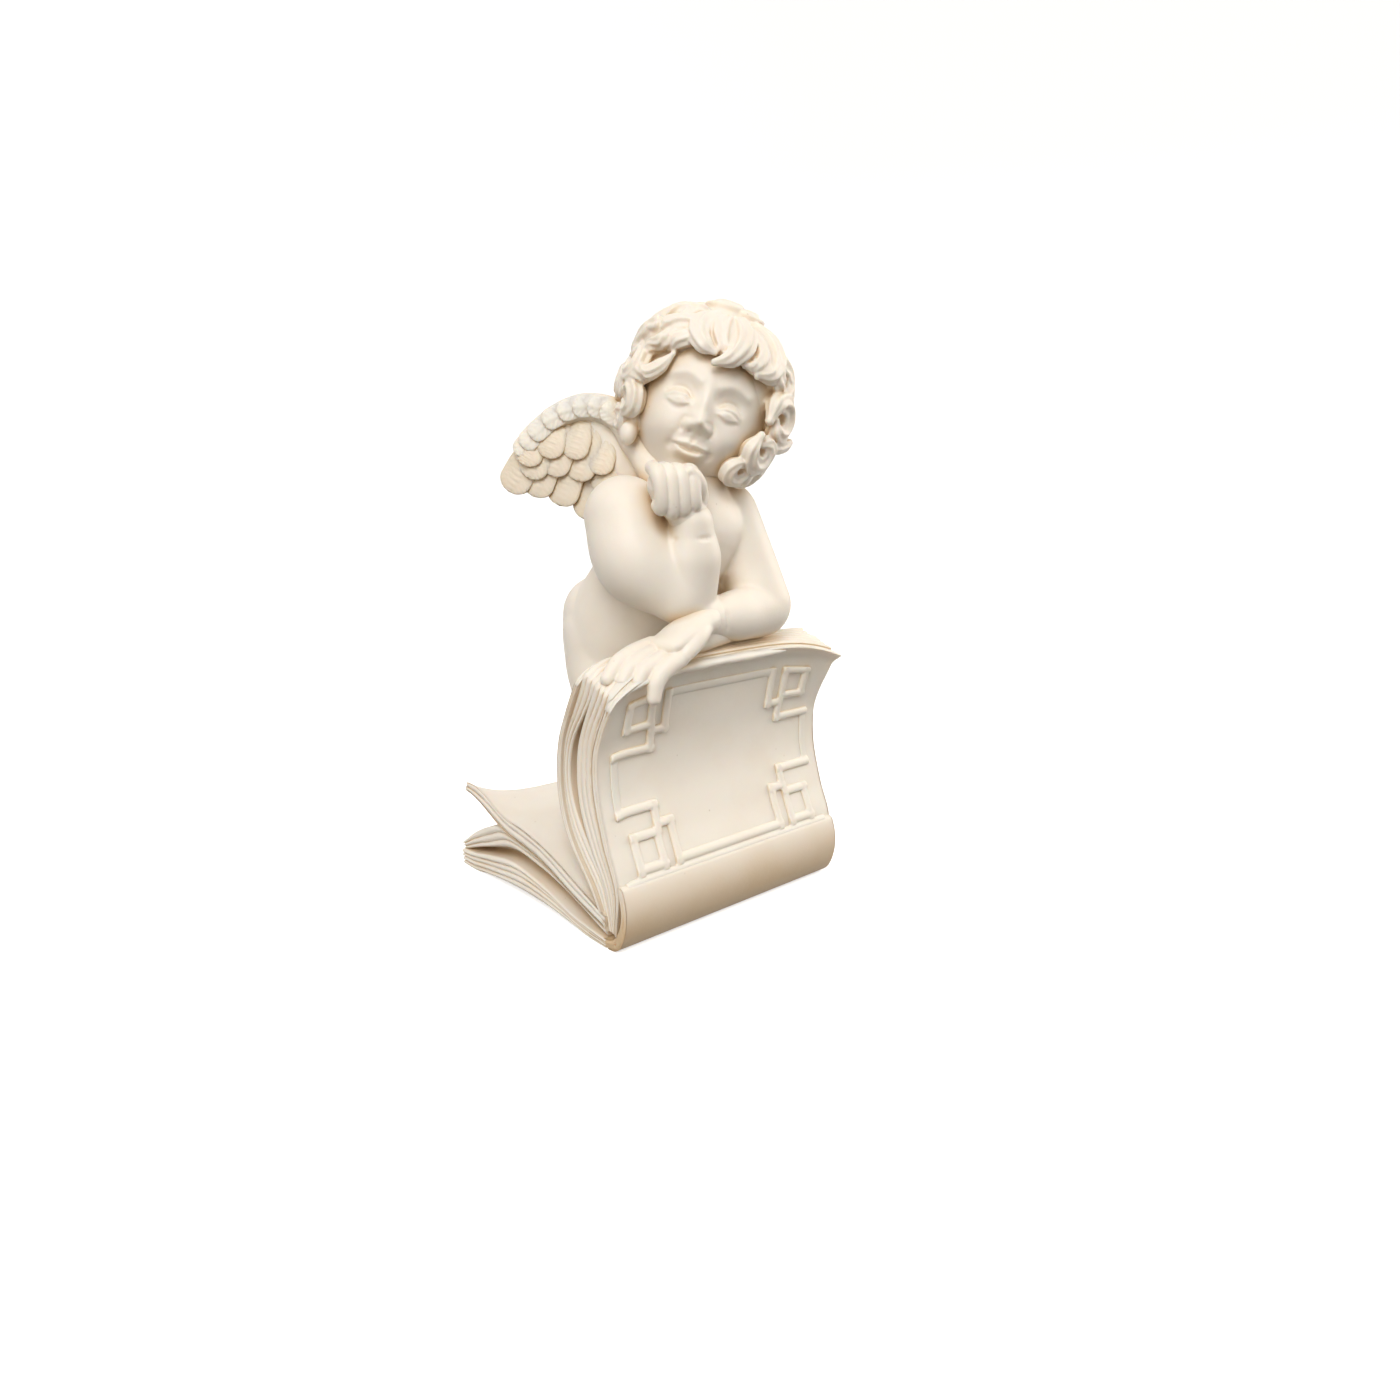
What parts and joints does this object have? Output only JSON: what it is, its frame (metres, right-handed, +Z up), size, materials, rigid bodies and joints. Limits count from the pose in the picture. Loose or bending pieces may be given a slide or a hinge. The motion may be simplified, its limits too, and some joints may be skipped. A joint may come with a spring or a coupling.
{
  "type": "cherub figurine",
  "caption": "Small cast figurine of a winged cherub leaning on a half-open book, chin on fist, with a stepped border on the upright page.",
  "frame": {"origin": "middle of the footprint, on the surface the figurine stands on", "axes": "+X along the book's spine to the right as the carved page is faced, +Y from the spine towards the fore edge of the lying half, +Z up"},
  "size_m": [0.0596, 0.0634, 0.1216],
  "materials": {
    "cast_body": "satin"
  },
  "bodies": {
    "root": {"angel_figurine": "cast_body"}
  },
  "joints": []
}
